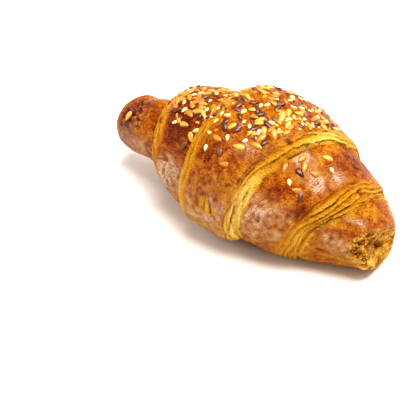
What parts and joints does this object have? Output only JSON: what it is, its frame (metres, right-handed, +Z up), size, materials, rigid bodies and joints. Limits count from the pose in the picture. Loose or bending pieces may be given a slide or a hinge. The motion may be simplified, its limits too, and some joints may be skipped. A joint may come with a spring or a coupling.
{
  "type": "croissant",
  "caption": "Straight baked croissant with spiral dough steps, a seeded top, a rounded stub at one end and a torn open tip at the other.",
  "frame": {"origin": "centre of the bounding box at the bottom, on the flat baked underside", "axes": "+X along the roll towards its torn tip, +Y to the back of the pictured side, +Z up from the table"},
  "size_m": [0.1296, 0.0688, 0.058],
  "materials": {
    "crust": "egg-washed baked crust, satin to glossy, deep orange brown on the turns and golden yellow on the cut edges",
    "golden_linseed": "smooth glossy golden linseed",
    "brown_linseed": "smooth glossy brown linseed",
    "sesame": "cream-white hulled sesame, satin"
  },
  "bodies": {
    "root": {"croissant": "crust"}
  },
  "joints": []
}
